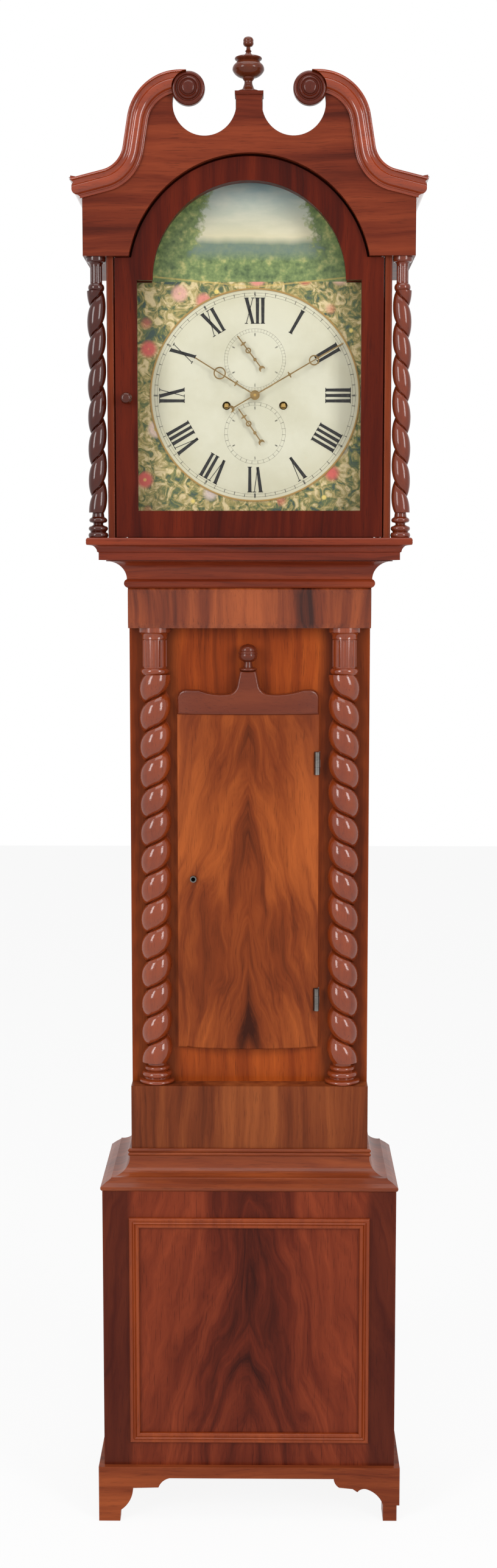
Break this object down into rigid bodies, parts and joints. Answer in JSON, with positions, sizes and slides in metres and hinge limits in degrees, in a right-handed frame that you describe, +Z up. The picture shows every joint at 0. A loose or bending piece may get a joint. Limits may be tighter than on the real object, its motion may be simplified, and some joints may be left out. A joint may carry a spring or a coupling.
{
  "type": "longcase clock",
  "caption": "Tall mahogany clock with a painted arched dial, swan-neck hood, barley-twist columns, bow-fronted trunk door and panelled plinth",
  "frame": {"origin": "on the floor, under the middle of the clock's bounding box", "axes": "+Z up, +Y from the dial to the back, +X to the right as one faces the dial"},
  "size_m": [0.5068, 0.255, 2.2],
  "materials": {
    "mahogany": "french polished",
    "pine": "bare, aged",
    "brass": "polished, aged",
    "steel": "dark",
    "iron": "rough",
    "gut": "twisted",
    "dial_paint": "painted, aged",
    "glass": "clear"
  },
  "bodies": {
    "hood": {"hood_base_frame": "mahogany", "hood_sides": "mahogany", "hood_roof": "pine", "hood_mask": "pine", "pediment_board": "mahogany", "swan_neck_left": "mahogany", "swan_neck_right": "mahogany", "paterae": "mahogany", "finial": "mahogany", "hood_column_left": "mahogany", "hood_column_right": "mahogany"},
    "hood_door": {"hood_door_frame": "mahogany", "hood_door_glass": "glass", "hood_door_pins": "steel", "hood_door_knob": "mahogany"},
    "trunk_door": {"trunk_door_panel": "mahogany", "trunk_door_head": "mahogany", "trunk_door_hinges": "steel", "trunk_lock": "steel"},
    "lock_bolt": {"lock_bolt": "steel"},
    "centre_arbor": {"centre_wheel": "brass", "minute_hand": "brass"},
    "hour_hand": {"hour_hand": "brass"},
    "minute_wheel": {"minute_wheel": "brass"},
    "great_wheel_going": {"great_wheel_going": "brass"},
    "third_wheel": {"third_wheel": "brass"},
    "escape_wheel": {"escape_wheel": "brass"},
    "date_hand": {"date_hand": "brass"},
    "pallets": {"pallets": "steel"},
    "pendulum": {"pendulum_rod": "steel", "pendulum_bob": "brass"},
    "barrel_going": {"barrel_going": "brass"},
    "barrel_strike": {"barrel_strike": "brass"},
    "weight_going": {"weight_going": "iron"},
    "weight_strike": {"weight_strike": "iron"},
    "pulley_going": {"pulley_going": "brass"},
    "pulley_strike": {"pulley_strike": "brass"},
    "great_wheel_strike": {"great_wheel_strike": "brass"},
    "pin_wheel": {"pin_wheel": "brass"},
    "fly": {"fly": "brass"},
    "hammer": {"hammer": "steel"},
    "case": {"backboard": "pine", "bell": "brass", "cushion_frieze": "mahogany", "dial_plate": "dial_paint", "line_going": "gut", "line_strike": "gut", "movement_frame": "brass", "plinth_carcass": "mahogany", "plinth_panel_moulding": "mahogany", "plinth_top_moulding": "mahogany", "seatboard": "pine", "skirt": "mahogany", "throat_moulding": "mahogany", "trunk_column_left": "mahogany", "trunk_column_right": "mahogany", "trunk_front_frame": "mahogany", "trunk_hinges_fixed": "steel", "trunk_lower_band": "mahogany", "trunk_sides": "mahogany"}
  },
  "joints": [
    {"name": "hood_slide", "type": "slide", "parent": "case", "child": "hood", "axis": [0, -1, 0], "range_m": [0, 0.3]},
    {"name": "hood_door_hinge", "type": "hinge", "parent": "hood", "child": "hood_door", "pos_m": [0.1895, -0.1, 1.7], "axis": [0, 0, 1], "range_deg": [0, 110]},
    {"name": "trunk_door_hinge", "type": "hinge", "parent": "case", "child": "trunk_door", "pos_m": [0.1018, -0.036, 1], "axis": [0, 0, 1], "range_deg": [0, 110]},
    {"name": "lock_bolt_slide", "type": "slide", "parent": "trunk_door", "child": "lock_bolt", "axis": [-1, 0, 0], "range_m": [0, 0.012]},
    {"name": "centre_arbor_spin", "type": "hinge", "parent": "case", "child": "centre_arbor", "pos_m": [0.008, 0.022, 1.706], "axis": [0, 1, 0], "continuous": true},
    {"name": "hour_hand_spin", "type": "hinge", "parent": "case", "child": "hour_hand", "pos_m": [0.008, 0.022, 1.706], "axis": [0, 1, 0], "continuous": true},
    {"name": "minute_wheel_spin", "type": "hinge", "parent": "case", "child": "minute_wheel", "pos_m": [0.008, 0.022, 1.678], "axis": [0, 1, 0], "continuous": true},
    {"name": "great_wheel_going_spin", "type": "hinge", "parent": "case", "child": "great_wheel_going", "pos_m": [0.0494, 0.022, 1.6915], "axis": [0, 1, 0], "continuous": true},
    {"name": "third_wheel_spin", "type": "hinge", "parent": "case", "child": "third_wheel", "pos_m": [0.01687, 0.022, 1.73171], "axis": [0, 1, 0], "continuous": true},
    {"name": "escape_wheel_spin", "type": "hinge", "parent": "case", "child": "escape_wheel", "pos_m": [0.008, 0.022, 1.757], "axis": [0, 1, 0], "continuous": true},
    {"name": "date_hand_spin", "type": "hinge", "parent": "case", "child": "date_hand", "pos_m": [0.008, 0.022, 1.652], "axis": [0, 1, 0], "continuous": true},
    {"name": "pendulum_swing", "type": "hinge", "parent": "case", "child": "pendulum", "pos_m": [0.008, 0.07, 1.781], "axis": [0, 1, 0], "range_deg": [-2.5, 2.5]},
    {"name": "pallets_rock", "type": "hinge", "parent": "case", "child": "pallets", "pos_m": [0.008, 0.022, 1.781], "axis": [0, 1, 0], "range_deg": [-2.5, 2.5]},
    {"name": "weight_going_slide", "type": "slide", "parent": "case", "child": "weight_going", "axis": [0, 0, 1], "range_m": [0, 1], "deforming": ["line_going"]},
    {"name": "weight_strike_slide", "type": "slide", "parent": "case", "child": "weight_strike", "axis": [0, 0, 1], "range_m": [0, 1], "deforming": ["line_strike"]},
    {"name": "pulley_going_turn", "type": "hinge", "parent": "weight_going", "child": "pulley_going", "pos_m": [0.0494, 0.022, 0.515], "axis": [0, 1, 0], "range_deg": [-2865, 0]},
    {"name": "pulley_strike_turn", "type": "hinge", "parent": "weight_strike", "child": "pulley_strike", "pos_m": [-0.0334, 0.022, 0.515], "axis": [0, 1, 0], "range_deg": [-2865, 0]},
    {"name": "barrel_going_turn", "type": "hinge", "parent": "case", "child": "barrel_going", "pos_m": [0.0494, 0.022, 1.6915], "axis": [0, 1, 0], "range_deg": [-5730, 0]},
    {"name": "barrel_strike_turn", "type": "hinge", "parent": "case", "child": "barrel_strike", "pos_m": [-0.0334, 0.022, 1.6915], "axis": [0, 1, 0], "range_deg": [-5730, 0]},
    {"name": "great_wheel_strike_spin", "type": "hinge", "parent": "case", "child": "great_wheel_strike", "pos_m": [-0.0334, 0.022, 1.6915], "axis": [0, 1, 0], "continuous": true},
    {"name": "pin_wheel_spin", "type": "hinge", "parent": "case", "child": "pin_wheel", "pos_m": [-0.0334, 0.022, 1.72762], "axis": [0, 1, 0], "continuous": true},
    {"name": "fly_spin", "type": "hinge", "parent": "case", "child": "fly", "pos_m": [-0.029, 0.022, 1.75243], "axis": [0, 1, 0], "continuous": true},
    {"name": "hammer_lift", "type": "hinge", "parent": "case", "child": "hammer", "pos_m": [-0.045, 0.022, 1.775], "axis": [0, 1, 0], "range_deg": [-20, 0], "stiffness_Nm_per_rad": 0.05, "springref_deg": 5.73}
  ],
  "couplings": [
    {"joint": "hour_hand_spin", "follows": "centre_arbor_spin", "ratio": 0.083333},
    {"joint": "minute_wheel_spin", "follows": "centre_arbor_spin", "ratio": -1},
    {"joint": "great_wheel_going_spin", "follows": "centre_arbor_spin", "ratio": -0.083333},
    {"joint": "third_wheel_spin", "follows": "centre_arbor_spin", "ratio": -7.5},
    {"joint": "escape_wheel_spin", "follows": "centre_arbor_spin", "ratio": 60},
    {"joint": "date_hand_spin", "follows": "centre_arbor_spin", "ratio": 0.001344},
    {"joint": "pallets_rock", "follows": "pendulum_swing", "ratio": 1},
    {"joint": "pulley_going_turn", "follows": "weight_going_slide", "rad_per_m": -50},
    {"joint": "pulley_strike_turn", "follows": "weight_strike_slide", "rad_per_m": -50},
    {"joint": "barrel_going_turn", "follows": "weight_going_slide", "rad_per_m": -100},
    {"joint": "barrel_strike_turn", "follows": "weight_strike_slide", "rad_per_m": -100},
    {"joint": "pin_wheel_spin", "follows": "great_wheel_strike_spin", "ratio": -9.75},
    {"joint": "fly_spin", "follows": "great_wheel_strike_spin", "ratio": 78}
  ]
}
